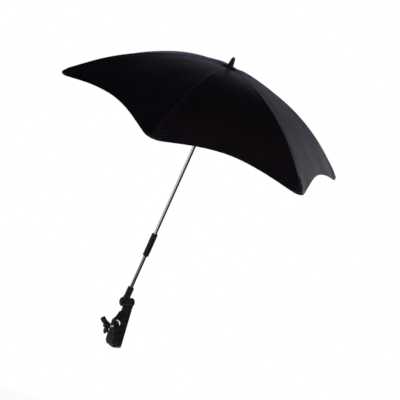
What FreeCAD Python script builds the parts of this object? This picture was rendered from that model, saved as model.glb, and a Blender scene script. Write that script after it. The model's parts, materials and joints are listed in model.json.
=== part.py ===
import FreeCAD, Part
import math
import os
import re
import Sketcher

# Pram parasol with a tube clamp. Millimetres and degrees.
# The origin is on the pram tube's axis in the clamp's seat. +Z runs up the parasol's shaft,
# -X points to the clamp's wing screw. The knuckle is set over by a few degrees, so the clamp
# leans against the shaft, as it does when the parasol is aimed at the sun.

RIB_COUNT = 6
FIRST_RIB_ANGLE = -90

# Driving sizes
SIZES = {
    # Canopy
    "rib_length": 377,
    "rib_top_slope": 1.4,
    "rib_tip_slope": 45.5,
    "rib_start_radius": 10,
    "cloth_thickness": 0.6,
    "cloth_gap": 0.3,
    "panel_bulge": 4,
    "hem_rise": 23,
    # Ribs and stretchers
    "rib_seat": 0.7,
    "rib_width": 3,
    "rib_height": 3,
    "rib_wall": 0.7,
    "rib_overhang": 2.5,
    "tip_radius": 2.7,
    "tip_length": 4.5,
    "eye_radius": 2.2,
    "eye_circle_radius": 9,
    "bracket_drop": 5,
    "bracket_wall": 0.8,
    "bracket_half_length": 4,
    "rivet_radius": 0.9,
    "rivet_head_radius": 1.7,
    "rivet_head_height": 0.6,
    "stretcher_length": 175,
    "stretcher_width": 2.4,
    "stretcher_height": 4,
    # Crown, ferrule and runner
    "crown_radius": 13,
    "crown_thickness": 9,
    "crown_wire_radius": 0.7,
    "washer_radius": 14,
    "washer_height": 1.4,
    "ferrule_length": 25,
    "ferrule_diameter": 14,
    "ferrule_plug_length": 12,
    "runner_length": 42,
    "runner_wall": 2.1,
    "runner_ring_height": 8,
    "catch_thickness": 1.6,
    "catch_reach": 3,
    "catch_length": 24,
    # Shaft
    "shaft_diameter": 8,
    "shaft_wall": 0.8,
    "crown_height": 615,
    "sleeve_diameter": 14.6,
    "sleeve_length": 58.5,
    "sleeve_bottom": 126,
    "bend_plug_length": 12,
    "bend_half_length": 8,
    "bend_tongue": 2.7,
    "bend_pin_radius": 1.2,
    # Knuckle
    "socket_diameter": 15.5,
    "socket_top": 40,
    "socket_floor": 15,
    "knuckle_radius": 11,
    "knuckle_drop": 16.5,
    "knuckle_set_angle": 11,
    "arm_left": 7.9,
    "arm_right": 3,
    "arm_offset": 13.4,
    "barrel_end": 22.5,
    "cap_height": 3,
    "bolt_radius": 3,
    "bolt_head_radius": 5,
    "bolt_head_height": 3.5,
    "knob_radius": 6,
    "knob_length": 3.4,
    "swivel_height": 4.2,
    "swivel_bolt_length": 36,
    "swivel_thread_length": 9,
    # Clamp
    "tube_diameter": 20,
    "seat_lining": 1.5,
    "lining_width": 22,
    "post_radius": 12.2,
    "post_offset": 7,
    "pivot_height": 61,
    "body_bottom": 54,
    "bottom_round": 10,
    "throat_top": 14.5,
    "throat_bottom": 17.5,
    "nose_front": 13,
    "nose_width": 20,
    "nose_lip": 4.5,
    "nose_height": 20,
    "shelf_front": 9.7,
    "jaw_front": 21,
    "jaw_thickness": 5.2,
    "jaw_arm_width": 22,
    "jaw_tip_thickness": 3.7,
    "jaw_pin_depth": 40,
    "jaw_pin_front": 12,
    "jaw_pin_radius": 2,
    "jaw_heel_radius": 9,
    "hinge_tongue_width": 10,
    "hinge_tongue_radius": 4.5,
    "boss_radius": 9,
    "boss_height": 1.8,
    "screw_radius": 3.9,
    "nut_across_flats": 13,
    "nut_thickness": 4,
    "pad_radius": 10.8,
    "pad_thickness": 3.5,
    "pad_rubber_thickness": 1.8,
    "thread_shown": 12,
    "wing_span": 43,
    "wing_tip_radius": 3.4,
    "wing_thickness": 10.5,
    "wing_turn": -41,
    "hub_radius": 7,
    "hub_length": 14,
    "tongue_width": 10,
    "tongue_thickness": 2.2,
    # Clearances
    "fit_gap": 0.3,
    "seat_gap": 0.05,
}

# Sizes that follow from the driving ones
DERIVED = {
    "shaft_radius": "shaft_diameter / 2",
    "bore_radius": "shaft_radius - shaft_wall",
    "slide_radius": "shaft_radius + fit_gap",
    "shaft_x": "post_offset - arm_offset",
    "pivot_y": "pivot_height * sin(knuckle_set_angle)",
    "pivot_z": "pivot_height * cos(knuckle_set_angle)",
    "crown_z": "pivot_z + crown_height",
    "arc_radius": "rib_length / ((rib_tip_slope - rib_top_slope) * pi / 180)",
    "arc_x": "rib_start_radius - arc_radius * sin(rib_top_slope)",
    "arc_z": "-arc_radius * cos(rib_top_slope)",
    "rib_outer": "arc_radius - cloth_thickness - rib_seat",
    "rib_inner": "rib_outer - rib_height",
    "rib_middle": "rib_outer - rib_height / 2",
    "rib_end_slope": "rib_tip_slope + rib_overhang / rib_middle * 180 / pi",
    "eye_drop": "cloth_thickness + rib_seat + rib_height / 2",
    "bracket_arc": "rib_middle - bracket_drop",
    "eye_reach": "hypot(eye_circle_radius - arc_x; eye_drop + arc_z)",
    "bracket_slope": "(atan((eye_circle_radius - arc_x) / (-eye_drop - arc_z)) + acos((eye_reach^2"
                     " + bracket_arc^2 - stretcher_length^2) / (2 * eye_reach * bracket_arc))) / 1 deg",
    "bracket_x": "arc_x + bracket_arc * sin(bracket_slope)",
    "bracket_z": "arc_z + bracket_arc * cos(bracket_slope)",
    "bracket_half_angle": "bracket_half_length / bracket_arc * 180 / pi",
    "stretcher_slope": "asin((-eye_drop - bracket_z) / stretcher_length) / 1 deg",
    "runner_eye_z": "2 * bracket_z + eye_drop",
    "runner_radius": "slide_radius + runner_wall",
    "runner_bottom_z": "runner_eye_z + runner_ring_height / 2 + 4 - runner_length",
    "bend_height": "sleeve_bottom + sleeve_length / 2",
    "joint_radius": "shaft_radius - seat_gap",
    "plug_radius": "bore_radius - seat_gap",
    "tube_radius": "tube_diameter / 2",
    "seat_radius": "tube_radius + seat_lining",
    "clamp_width": "2 * post_radius",
    "body_top": "pivot_height - knuckle_drop - fit_gap",
    "jaw_inner": "jaw_front - jaw_thickness",
    "boss_front": "jaw_front + boss_height",
    "pad_back": "jaw_inner - fit_gap",
    "pad_front": "pad_back - pad_thickness",
    "hub_back": "boss_front + thread_shown",
    "screw_tip": "pad_back - 2.4",
}

doc = FreeCAD.newDocument("pram_parasol")
sheet = doc.addObject("Spreadsheet::Sheet", "Sizes")
for row, (alias, content) in enumerate(list(SIZES.items()) + list(DERIVED.items()), start=1):
    sheet.set("A%d" % row, alias)
    sheet.setAlias("B%d" % row, alias)
    sheet.set("B%d" % row, "=" + content if alias in DERIVED else str(content))
doc.recompute()


# Expressions

def bound(text):
    """The same expression with every size name pointing at the sheet."""
    def on_sheet(word):
        name = word.group()
        return "Sizes." + name if name in SIZES or name in DERIVED else name
    return re.sub(r"[a-z]\w*", on_sheet, text)


def value(text):
    """What an expression comes to now."""
    result = sheet.evalExpression(bound(text))
    return float(getattr(result, "Value", result))


def bind(target, prop, text):
    target.setExpression(prop, bound(text))


# Sketches

def new_sketch(body, role, offset="0"):
    """An empty sketch on one of the body's own planes, moved along the plane's normal."""
    sketch = body.newObject("Sketcher::SketchObject", body.Name + "_sketch")
    plane = next(feature for feature in body.Origin.OriginFeatures if feature.Role == role)
    sketch.AttachmentSupport = (plane, [""])
    sketch.MapMode = "FlatFace"
    bind(sketch, "AttachmentOffset.Base.z", offset)
    return sketch


def hold_point(sketch, geometry, point, x, y):
    """Fix a point of the sketch at two expressions."""
    for kind, text in (("DistanceX", x), ("DistanceY", y)):
        number = sketch.addConstraint(Sketcher.Constraint(kind, -1, 1, geometry, point, value(text)))
        bind(sketch, "Constraints[%d]" % number, text)


def hold_radius(sketch, geometry, text):
    number = sketch.addConstraint(Sketcher.Constraint("Radius", geometry, value(text)))
    bind(sketch, "Constraints[%d]" % number, text)


def circle(sketch, x, y, radius):
    centre = FreeCAD.Vector(value(x), value(y), 0)
    geometry = sketch.addGeometry(Part.Circle(centre, FreeCAD.Vector(0, 0, 1), value(radius)))
    hold_point(sketch, geometry, 3, x, y)
    hold_radius(sketch, geometry, radius)


def arc_between(start, end, radius, turn, long_way):
    """The arc from start to end. It turns left for turn 1 and right for turn -1."""
    chord = end - start
    half = chord.Length / 2
    side = FreeCAD.Vector(-chord.y, chord.x, 0).normalize() * turn * (-1 if long_way else 1)
    centre = start + chord * 0.5 + side * math.sqrt(max(radius * radius - half * half, 0))
    first, last = (start, end) if turn > 0 else (end, start)
    angles = [math.atan2(point.y - centre.y, point.x - centre.x) for point in (first, last)]
    return Part.ArcOfCircle(Part.Circle(centre, FreeCAD.Vector(0, 0, 1), radius), *angles)


def outline(sketch, corners):
    """A closed outline. A corner is (x, y), or (x, y, radius, turn) when an arc leads to the next one;
    a fifth entry, True, takes the long way round. A half round runs on smoothly from the line before it."""
    points = [FreeCAD.Vector(value(corner[0]), value(corner[1]), 0) for corner in corners]
    ends = []
    half_rounds = []
    for corner, start, end in zip(corners, points, points[1:] + points[:1]):
        if len(corner) == 2:
            ends.append((sketch.addGeometry(Part.LineSegment(start, end)), 1, 2))
            continue
        long_way = len(corner) > 4
        geometry = sketch.addGeometry(arc_between(start, end, value(corner[2]), corner[3], long_way))
        if abs(value(corner[2]) - (end - start).Length / 2) < 1e-6:
            half_rounds.append(geometry)
        else:
            hold_radius(sketch, geometry, corner[2])
        ends.append((geometry, 1, 2) if corner[3] > 0 else (geometry, 2, 1))
    for (geometry, first, last), (following, start, _) in zip(ends, ends[1:] + ends[:1]):
        joint = "Tangent" if following in half_rounds else "Coincident"
        sketch.addConstraint(Sketcher.Constraint(joint, geometry, last, following, start))
    for corner, (geometry, first, _) in zip(corners, ends):
        hold_point(sketch, geometry, first, corner[0], corner[1])


def box_outline(sketch, left, right, low, high):
    outline(sketch, [(left, low), (right, low), (right, high), (left, high)])


# Features

def new_body(name):
    body = doc.addObject("PartDesign::Body", name)
    body.Label = name
    return body


def pad(body, sketch, length, both=False, back=False):
    feature = body.newObject("PartDesign::Pad", body.Name + "_pad")
    feature.Profile = sketch
    bind(feature, "Length", length)
    feature.Midplane = both
    feature.Reversed = back
    sketch.Visibility = False
    return feature


def pocket(body, sketch, length, both=False, back=False):
    feature = body.newObject("PartDesign::Pocket", body.Name + "_pocket")
    feature.Profile = sketch
    bind(feature, "Length", length)
    feature.Midplane = both
    feature.Reversed = back
    sketch.Visibility = False
    return feature


def revolve(body, sketch, axis, angle="360", cut=False, both=False):
    kind = "PartDesign::Groove" if cut else "PartDesign::Revolution"
    feature = body.newObject(kind, body.Name + "_revolve")
    feature.Profile = sketch
    feature.ReferenceAxis = (sketch, [axis])
    bind(feature, "Angle", angle)
    feature.Midplane = both
    sketch.Visibility = False
    return feature


def around(body, feature, count):
    """Repeat a feature evenly round the body's Z axis, or round its X axis when it was drawn on YZ."""
    pattern = body.newObject("PartDesign::PolarPattern", body.Name + "_pattern")
    pattern.Originals = [feature]
    pattern.Axis = (feature.Profile[0], ["N_Axis"])
    pattern.Angle = 360
    pattern.Occurrences = count
    body.Tip = pattern
    return pattern


def round_edges(body, chosen, radius):
    """Round every edge of the body for which chosen(edge) is true."""
    doc.recompute()
    base = body.Tip
    names = ["Edge%d" % number for number, edge in enumerate(base.Shape.Edges, start=1) if chosen(edge)]
    fillet = body.newObject("PartDesign::Fillet", body.Name + "_fillet")
    fillet.Base = (base, names)
    bind(fillet, "Radius", radius)
    return fillet


def turned(name, corners, axis="V_Axis"):
    """A round piece. Corners are (radius, height) round Z, or (place, radius) round X with axis H_Axis."""
    body = new_body(name)
    sketch = new_sketch(body, "XZ_Plane")
    outline(sketch, corners)
    revolve(body, sketch, axis)
    return body


# Places

def place(body, x, y, z, axis=(0, 0, 1), angle="0"):
    body.Placement = FreeCAD.Placement(FreeCAD.Vector(0, 0, 0), FreeCAD.Rotation(FreeCAD.Vector(*axis), 1))
    bind(body, "Placement.Base.x", x)
    bind(body, "Placement.Base.y", y)
    bind(body, "Placement.Base.z", z)
    bind(body, "Placement.Rotation.Angle", angle)


def on_shaft(body, height="0"):
    """Upright on the shaft's axis, at a height above the knuckle's pivot."""
    place(body, "shaft_x", "pivot_y", "pivot_z + " + height)


def on_crown(body, number):
    """In the plane of one rib, with local X pointing out along it."""
    angle = FIRST_RIB_ANGLE + (number - 1) * 360 / RIB_COUNT
    place(body, "shaft_x", "pivot_y", "crown_z", angle=str(angle))


def on_clamp(body, turn="0"):
    """In the clamp's own frame, whose Z runs up the clamp's post."""
    place(body, "0", "0", "0", axis=(1, 0, 0), angle="-knuckle_set_angle + " + turn)


def on_pivot(body, x="shaft_x"):
    """At the height of the knuckle's pivot, leaning with the clamp."""
    place(body, x, "pivot_y", "pivot_z", axis=(1, 0, 0), angle="-knuckle_set_angle")


# Canopy cloth

def rib_point(share):
    """Cloth radius and height above a rib, at a share of the rib's length."""
    slope = math.radians(value("rib_top_slope") + share * value("rib_tip_slope - rib_top_slope"))
    radius = value("arc_x") + value("arc_radius") * math.sin(slope)
    return radius, value("arc_z") + value("arc_radius") * math.cos(slope), slope


def hem_share(across):
    """Where the hem crosses, from the rib (across 0) to the middle of the panel (across 1)."""
    rise = value("hem_rise / rib_length")
    return 1 - rise * (1 - (1 - across) ** 1.6)


def cloth_point(share, across, side, depth):
    """A point of the cloth in the rib's frame: across runs from the rib to the panel's middle."""
    radius, height, slope = rib_point(share)
    half_angle = math.pi / RIB_COUNT
    half_chord = radius * math.sin(half_angle)
    along = 1 - across * (1 - value("cloth_gap") / 2 / half_chord)
    bulge = value("panel_bulge") * share * (1 - along ** 2)
    outward = radius * math.cos(half_angle) + bulge
    x = outward * math.cos(half_angle) + along * half_chord * math.sin(half_angle)
    y = outward * math.sin(half_angle) - along * half_chord * math.cos(half_angle)
    reach = math.hypot(x, y)
    inward = depth * math.sin(slope) / reach
    return FreeCAD.Vector(x - inward * x, side * (y - inward * y), height - depth * math.cos(slope))


def cloth_grid(side, depth, rows=9, columns=6):
    """Points of one half of a gore, from the crown to the hem and from the rib to the panel's middle."""
    grid = []
    for row in range(rows):
        across = [column / (columns - 1) for column in range(columns)]
        grid.append([cloth_point(hem_share(place_across) * row / (rows - 1), place_across, side, depth)
                     for place_across in across])
    return grid


def gore_solid():
    """A thin closed gore: two smooth halves that meet in a crease over the rib."""
    faces = []
    for side in (1, -1):
        skins = []
        for depth in (0, value("cloth_thickness")):
            skin = Part.BSplineSurface()
            skin.interpolate(cloth_grid(side, depth))
            skins.append(skin)
            faces.append(skin.toShape())
        first_row, last_row, _, last_column = skins[0].bounds()
        rims = [[skin.uIso(first_row) for skin in skins], [skin.uIso(last_row) for skin in skins],
                [skin.vIso(last_column) for skin in skins]]
        for outer, inner in rims:
            faces.append(Part.makeRuledSurface(outer.toShape(), inner.toShape()))
    shell = Part.Shell(faces)
    shell.sewShape()
    solid = Part.Solid(Part.Shell(shell.Faces))
    if solid.Volume < 0:
        solid.reverse()
    return solid


def build_gores():
    gore_shape = gore_solid()
    for number in range(1, RIB_COUNT + 1):
        gore = doc.addObject("Part::Feature", "canopy_gore_%d" % number)
        gore.Label = gore.Name
        gore.Shape = gore_shape
        on_crown(gore, number)
        nodes.append(gore)


# Ribs and stretchers

def arc_corner(radius, slope):
    """A point on a circle about the ribs' common centre, at a slope below level."""
    return ("arc_x + (%s) * sin(%s)" % (radius, slope), "arc_z + (%s) * cos(%s)" % (radius, slope))


def sector(sketch, low, high, from_slope, to_slope):
    """A curved strip about the ribs' centre, between two radii and two slopes."""
    outline(sketch, [arc_corner(low, from_slope) + (low, -1), arc_corner(low, to_slope),
                     arc_corner(high, to_slope) + (high, 1), arc_corner(high, from_slope)])


def build_rib(number):
    body = new_body("rib_%d" % number)
    start_slope = "(asin((eye_circle_radius + 4 - arc_x) / rib_middle) / 1 deg)"
    bar = new_sketch(body, "XZ_Plane")
    sector(bar, "rib_inner", "rib_outer", start_slope, "rib_end_slope")
    pad(body, bar, "rib_width", both=True)
    ears = new_sketch(body, "XZ_Plane")
    sector(ears, "bracket_arc - 2.6", "rib_middle",
           "bracket_slope - bracket_half_angle", "bracket_slope + bracket_half_angle")
    pad(body, ears, "rib_width + 2 * bracket_wall", both=True)
    channel = new_sketch(body, "XZ_Plane")
    sector(channel, "rib_inner - 1", "rib_outer - rib_wall",
           "(%s) + 1.2" % start_slope, "rib_end_slope - 0.3")
    pocket(body, channel, "rib_width - 2 * rib_wall", both=True)
    fork = new_sketch(body, "XZ_Plane")
    sector(fork, "bracket_arc - 4", "rib_inner - seat_gap",
           "bracket_slope - 2 * bracket_half_angle", "bracket_slope + 2 * bracket_half_angle")
    pocket(body, fork, "stretcher_width + 2 * fit_gap", both=True)
    eye = new_sketch(body, "XZ_Plane")
    circle(eye, "eye_circle_radius", "-eye_drop", "eye_radius")
    pad(body, eye, "stretcher_width", both=True)
    tang = new_sketch(body, "XZ_Plane")
    box_outline(tang, "eye_circle_radius", "eye_circle_radius + 8",
                "-eye_drop - rib_height / 2 + 0.4", "-eye_drop + rib_height / 2 - 0.4")
    pad(body, tang, "stretcher_width", both=True)
    holes = new_sketch(body, "XZ_Plane")
    circle(holes, "eye_circle_radius", "-eye_drop", "crown_wire_radius + fit_gap")
    circle(holes, "bracket_x", "bracket_z", "rivet_radius + seat_gap")
    pocket(body, holes, "4 * rib_width", both=True)
    on_crown(body, number)
    return body


def build_rivet(number):
    body = new_body("rib_rivet_%d" % number)
    sketch = new_sketch(body, "XZ_Plane")
    circle(sketch, "bracket_x", "bracket_z", "rivet_radius")
    reach = "rib_width / 2 + bracket_wall + seat_gap"
    pad(body, sketch, "2 * (%s + rivet_head_height)" % reach, both=True)
    for side in (1, -1):
        head = new_sketch(body, "XZ_Plane", "%d * (%s)" % (side, reach))
        circle(head, "bracket_x", "bracket_z", "rivet_head_radius")
        pad(body, head, "rivet_head_height", back=side < 0)
    on_crown(body, number)
    return body


def along_tip(along, out):
    """A point beside the end of a rib: along its direction and out from its middle line."""
    return ("arc_x + rib_middle * sin(rib_tip_slope) + (%s) * cos(rib_tip_slope) + (%s) * sin(rib_tip_slope)"
            % (along, out),
            "arc_z + rib_middle * cos(rib_tip_slope) - (%s) * sin(rib_tip_slope) + (%s) * cos(rib_tip_slope)"
            % (along, out))


def build_tip(number):
    """A cap that covers the rib's end, just clear of the hem."""
    body = new_body("rib_tip_%d" % number)
    sketch = new_sketch(body, "XZ_Plane")
    hole = "sqrt(rib_width^2 + rib_height^2) / 2 + seat_gap"
    end = "fit_gap + tip_length"
    outline(sketch, [along_tip("rib_overhang + fit_gap", "0"), along_tip("rib_overhang + fit_gap", hole),
                     along_tip("fit_gap", hole), along_tip("fit_gap", "tip_radius"),
                     along_tip(end + " - 1.4", "tip_radius") + ("tip_radius", -1),
                     along_tip(end, "0.8"), along_tip(end, "0")])
    start = [value(text) for text in along_tip("0", "0")]
    finish = [value(text) for text in along_tip("tip_length", "0")]
    axis = sketch.addGeometry(Part.LineSegment(FreeCAD.Vector(*start, 0), FreeCAD.Vector(*finish, 0)), True)
    hold_point(sketch, axis, 1, *along_tip("0", "0"))
    hold_point(sketch, axis, 2, *along_tip("tip_length", "0"))
    revolve(body, sketch, "Axis0")
    on_crown(body, number)
    return body


def build_stretcher(number):
    """A flat link from the runner's eye circle to the rib's bracket."""
    body = new_body("stretcher_%d" % number)
    sketch = new_sketch(body, "XZ_Plane")
    ends = (("eye_circle_radius", "runner_eye_z"), ("bracket_x", "bracket_z"))
    half = "stretcher_height / 2"
    aside = half + " * sin(stretcher_slope)"
    rise = half + " * cos(stretcher_slope)"
    lower = [("%s + %s" % (x, aside), "%s - %s" % (z, rise)) for x, z in ends]
    upper = [("%s - %s" % (x, aside), "%s + %s" % (z, rise)) for x, z in ends]
    outline(sketch, [lower[0], lower[1] + (half, 1), upper[1], upper[0] + (half, 1)])
    for x, z in ends:
        circle(sketch, x, z, "rivet_radius + fit_gap")
    pad(body, sketch, "stretcher_width", both=True)
    on_crown(body, number)
    return body


# Crown, runner and shaft

def build_crown():
    """A slotted hub: each rib's eye sits in a slot on the wire that runs round in a groove."""
    top = "-cloth_thickness - 2 * cloth_gap"
    bottom = top + " - crown_thickness"
    bore = "shaft_radius + seat_gap"
    body = turned("crown", [(bore, top), (bore, bottom), ("crown_radius - 4", bottom),
                            ("crown_radius", top + " - 5"), ("crown_radius", top)])
    wire = new_sketch(body, "XZ_Plane")
    circle(wire, "eye_circle_radius", "-eye_drop", "crown_wire_radius + seat_gap")
    revolve(body, wire, "V_Axis", cut=True)
    slot = new_sketch(body, "XY_Plane")
    half_slot = "(rib_width / 2 + fit_gap)"
    slot_start = "eye_circle_radius - eye_radius - fit_gap"
    box_outline(slot, slot_start, "crown_radius + 1", "-" + half_slot, half_slot)
    around(body, pocket(body, slot, "4 * crown_thickness", both=True), RIB_COUNT)
    on_crown(body, 1)
    return body


def build_crown_wire():
    body = new_body("crown_wire")
    sketch = new_sketch(body, "XZ_Plane")
    circle(sketch, "eye_circle_radius", "-eye_drop", "crown_wire_radius")
    revolve(body, sketch, "V_Axis")
    on_crown(body, 1)
    return body


def build_washer():
    body = turned("top_washer", [("shaft_radius + seat_gap", "cloth_gap"), ("washer_radius", "cloth_gap"),
                                 ("washer_radius", "cloth_gap + 0.5"),
                                 ("ferrule_diameter / 2", "cloth_gap + washer_height"),
                                 ("shaft_radius + seat_gap", "cloth_gap + washer_height")])
    on_shaft(body, "crown_height")
    return body


def build_ferrule():
    """A blunt, ringed cap whose plug sits in the tube's upper end."""
    base = "(cloth_gap + washer_height + seat_gap)"
    plug_end = base + " - ferrule_plug_length"
    point = base + " + ferrule_length"
    plug = [("0", plug_end), ("plug_radius", plug_end), ("plug_radius", base)]
    foot = [("ferrule_diameter / 2 - 1", base)]
    rings = []
    for number in range(4):
        share = 0.14 + 0.17 * number
        width = "ferrule_diameter / 2 * (1 - 0.6 * %.2f^2)" % share
        middle = "%s + ferrule_length * %.2f" % (base, share)
        rings += [(width + " - 0.6", middle + " - 1.8"), (width, middle + " - 1.1"), (width, middle + " + 1.1")]
    tip = [("ferrule_diameter * 0.34", point + " - 6", "ferrule_diameter * 0.52", 1),
           ("0.8", point), ("0", point)]
    body = turned("ferrule", plug + foot + rings + tip)
    on_shaft(body, "crown_height")
    return body


def tube(name, low, high):
    """A length of the shaft's tube."""
    return turned(name, [("bore_radius", low), ("shaft_radius", low),
                         ("shaft_radius", high), ("bore_radius", high)])


def build_upper_tube():
    """The upper tube, with a slot for the runner's catch."""
    body = tube("upper_tube", "bend_height + bend_half_length - crown_height", "cloth_gap + washer_height")
    slot = new_sketch(body, "XZ_Plane")
    slot_end = "runner_bottom_z - catch_length * 0.75"
    box_outline(slot, "0", "2 * shaft_radius", slot_end, "runner_bottom_z + 0.6")
    pocket(body, slot, "catch_thickness + 2 * fit_gap", both=True)
    on_shaft(body, "crown_height")
    return body


def build_lower_tube():
    body = tube("lower_tube", "socket_floor + seat_gap", "bend_height - bend_half_length")
    on_shaft(body)
    return body


def build_bend_joint():
    """The knuckle under the sleeve: a fork on the lower tube, a tongue on the upper one, and their pin."""
    half = "(bend_half_length - seat_gap)"
    plug_end = "(bend_half_length + bend_plug_length)"
    fork_end = "bend_half_length - 3"
    fork = turned("lower_joint", [("0", "-" + plug_end), ("plug_radius", "-" + plug_end),
                                  ("plug_radius", "-" + half), ("joint_radius", "-" + half),
                                  ("joint_radius", fork_end), ("0", fork_end)])
    slot = new_sketch(fork, "XZ_Plane")
    box_outline(slot, "-2 * shaft_radius", "2 * shaft_radius", "-bend_half_length + 3", "bend_half_length")
    pocket(fork, slot, "bend_tongue + 2 * fit_gap", both=True)
    tongue_end = "-bend_half_length + 3.5"
    tongue = turned("upper_joint", [("0", tongue_end), ("joint_radius", tongue_end), ("joint_radius", half),
                                    ("plug_radius", half), ("plug_radius", plug_end), ("0", plug_end)])
    for side in (1, -1):
        cheek = new_sketch(tongue, "XZ_Plane", "%d * bend_tongue / 2" % side)
        cheek_top = "bend_half_length - 2.7"
        box_outline(cheek, "-2 * shaft_radius", "2 * shaft_radius", "-bend_half_length", cheek_top)
        pocket(tongue, cheek, "2 * shaft_radius", back=side > 0)
    for body in (fork, tongue):
        hole = new_sketch(body, "XZ_Plane")
        circle(hole, "0", "0", "bend_pin_radius + seat_gap")
        pocket(body, hole, "4 * shaft_radius", both=True)
    pin = new_body("bend_pin")
    sketch = new_sketch(pin, "XZ_Plane")
    circle(sketch, "0", "0", "bend_pin_radius")
    pad(pin, sketch, "2 * joint_radius - 1", both=True)
    for body in (fork, tongue, pin):
        on_shaft(body, "bend_height")
    return [fork, tongue, pin]


def build_sleeve():
    """The black sleeve that locks the bend joint and slides up the upper tube."""
    outer = "sleeve_diameter / 2"
    bottom = [("slide_radius", "0"), (outer + " - 1", "0"), (outer, "1.2")]
    grip = []
    for share in ("0.12", "0.18", "0.82", "0.88"):
        middle = "sleeve_length * " + share
        grip += [(outer, middle + " - 0.9"), (outer + " - 0.5", middle), (outer, middle + " + 0.9")]
    top = [(outer, "sleeve_length - 1.2"), (outer + " - 1", "sleeve_length"), ("slide_radius", "sleeve_length")]
    body = turned("shaft_sleeve", bottom + grip + top)
    on_shaft(body, "sleeve_bottom")
    return body


def build_runner():
    """A sleeve with a slotted ring. The slots are open below, where the stretchers' eyes come in."""
    ring_low = "runner_eye_z - runner_ring_height / 2"
    ring_high = "runner_eye_z + runner_ring_height / 2"
    grooves = []
    for number in range(4):
        middle = "runner_bottom_z + 6 + %d * 4" % number
        grooves += [("runner_radius", middle + " - 1"), ("runner_radius - 0.6", middle),
                    ("runner_radius", middle + " + 1")]
    foot = [("slide_radius", "runner_bottom_z"), ("runner_radius - 0.8", "runner_bottom_z"),
            ("runner_radius", "runner_bottom_z + 0.8")]
    ring = [("runner_radius", ring_low), ("crown_radius", ring_low), ("crown_radius", ring_high),
            ("runner_radius", ring_high)]
    collar = [("runner_radius", ring_high + " + 4"), ("slide_radius", ring_high + " + 4")]
    body = turned("runner", foot + grooves + ring + collar)
    slot = new_sketch(body, "XY_Plane", "runner_eye_z")
    half_slot = "(stretcher_width / 2 + fit_gap)"
    box_outline(slot, "runner_radius", "crown_radius + 1", "-" + half_slot, half_slot)
    around(body, pocket(body, slot, "runner_ring_height + 2", both=True), RIB_COUNT)
    on_crown(body, 1)
    return body


def build_catch():
    """The leaf in the tube's slot that the open runner rests on."""
    body = new_body("runner_catch")
    sketch = new_sketch(body, "XZ_Plane")
    top = "(runner_bottom_z - fit_gap)"
    low = top + " - catch_length"
    lip = "shaft_radius + catch_reach"
    slope_end = top + " - catch_length * 0.7"
    outline(sketch, [("0.6", top + " - 1.5"), ("1.8", top), (lip + " - 0.6", top), (lip, top + " - 0.8"),
                     ("bore_radius - 0.6", slope_end), ("bore_radius - 0.8", low), ("0.4", low)])
    pad(body, sketch, "catch_thickness", both=True)
    on_shaft(body, "crown_height")
    return body


# Knuckle

def build_arm():
    """The arm: a hinge disc beside the shaft's axis, flaring up into the socket that holds the tube."""
    body = new_body("arm_socket")
    socket = new_sketch(body, "XZ_Plane")
    wide = "socket_diameter / 2"
    outline(socket, [("0", "knuckle_radius + 1"), (wide, "knuckle_radius + 1"), (wide, "socket_top - 1.2"),
                     (wide + " - 1.2", "socket_top"), ("0", "socket_top")])
    revolve(body, socket, "V_Axis")
    disc = new_sketch(body, "YZ_Plane", "-arm_left")
    circle(disc, "0", "0", "knuckle_radius")
    pad(body, disc, "arm_left + arm_right")
    neck = new_sketch(body, "XZ_Plane")
    flare = wide + " - 2.4"
    outline(neck, [("-arm_left", "0"), ("arm_right", "0"), ("arm_right", "knuckle_radius + 0.5"),
                   (flare, "knuckle_radius + 1"), (flare, "knuckle_radius + 6"),
                   ("-(%s)" % flare, "knuckle_radius + 6"), ("-arm_left", "knuckle_radius - 1")])
    pad(body, neck, "socket_diameter - 5", both=True)
    relief = new_sketch(body, "YZ_Plane", "arm_right")
    circle(relief, "0", "0", "knuckle_radius + fit_gap")
    pocket(body, relief, "2 * knuckle_radius", back=True)
    hole = new_sketch(body, "YZ_Plane")
    circle(hole, "0", "0", "bolt_radius + fit_gap")
    pocket(body, hole, "8 * arm_left", both=True)
    bore = new_sketch(body, "XY_Plane", "socket_floor")
    circle(bore, "0", "0", "shaft_radius + seat_gap")
    pocket(body, bore, "socket_top", back=True)
    on_shaft(body)
    return body


def build_swivel_base():
    """The lower half of the knuckle: a turntable on the post with a barrel that carries the bolt."""
    body = new_body("swivel_base")
    low = "-knuckle_drop + fit_gap"
    table_radius = "(post_radius - 0.3)"
    table = new_sketch(body, "XY_Plane", low)
    circle(table, "arm_offset", "0", table_radius)
    pad(body, table, "swivel_height")
    barrel = new_sketch(body, "YZ_Plane", "arm_right + fit_gap")
    circle(barrel, "0", "0", "knuckle_radius")
    pad(body, barrel, "barrel_end - arm_right - fit_gap")
    half = "(knuckle_radius - 2)"
    half_length = "sqrt(%s^2 - %s^2)" % (table_radius, half)
    neck = new_sketch(body, "YZ_Plane", "arm_offset - " + half_length)
    shoulder = "(knuckle_radius - 0.5)"
    outline(neck, [("-" + half, low), (half, low), (shoulder, "0"), ("-" + shoulder, "0")])
    pad(body, neck, "2 * " + half_length)
    hole = new_sketch(body, "YZ_Plane")
    circle(hole, "0", "0", "bolt_radius + seat_gap")
    pocket(body, hole, "8 * barrel_end", both=True)
    recess = new_sketch(body, "YZ_Plane", "barrel_end")
    circle(recess, "0", "0", "bolt_head_radius + 0.6")
    pocket(body, recess, "bolt_head_height + 3.5")
    thread = new_sketch(body, "XY_Plane", low)
    circle(thread, "arm_offset", "0", "bolt_radius + seat_gap")
    pocket(body, thread, "swivel_thread_length", back=True)
    on_pivot(body)
    return body


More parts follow.
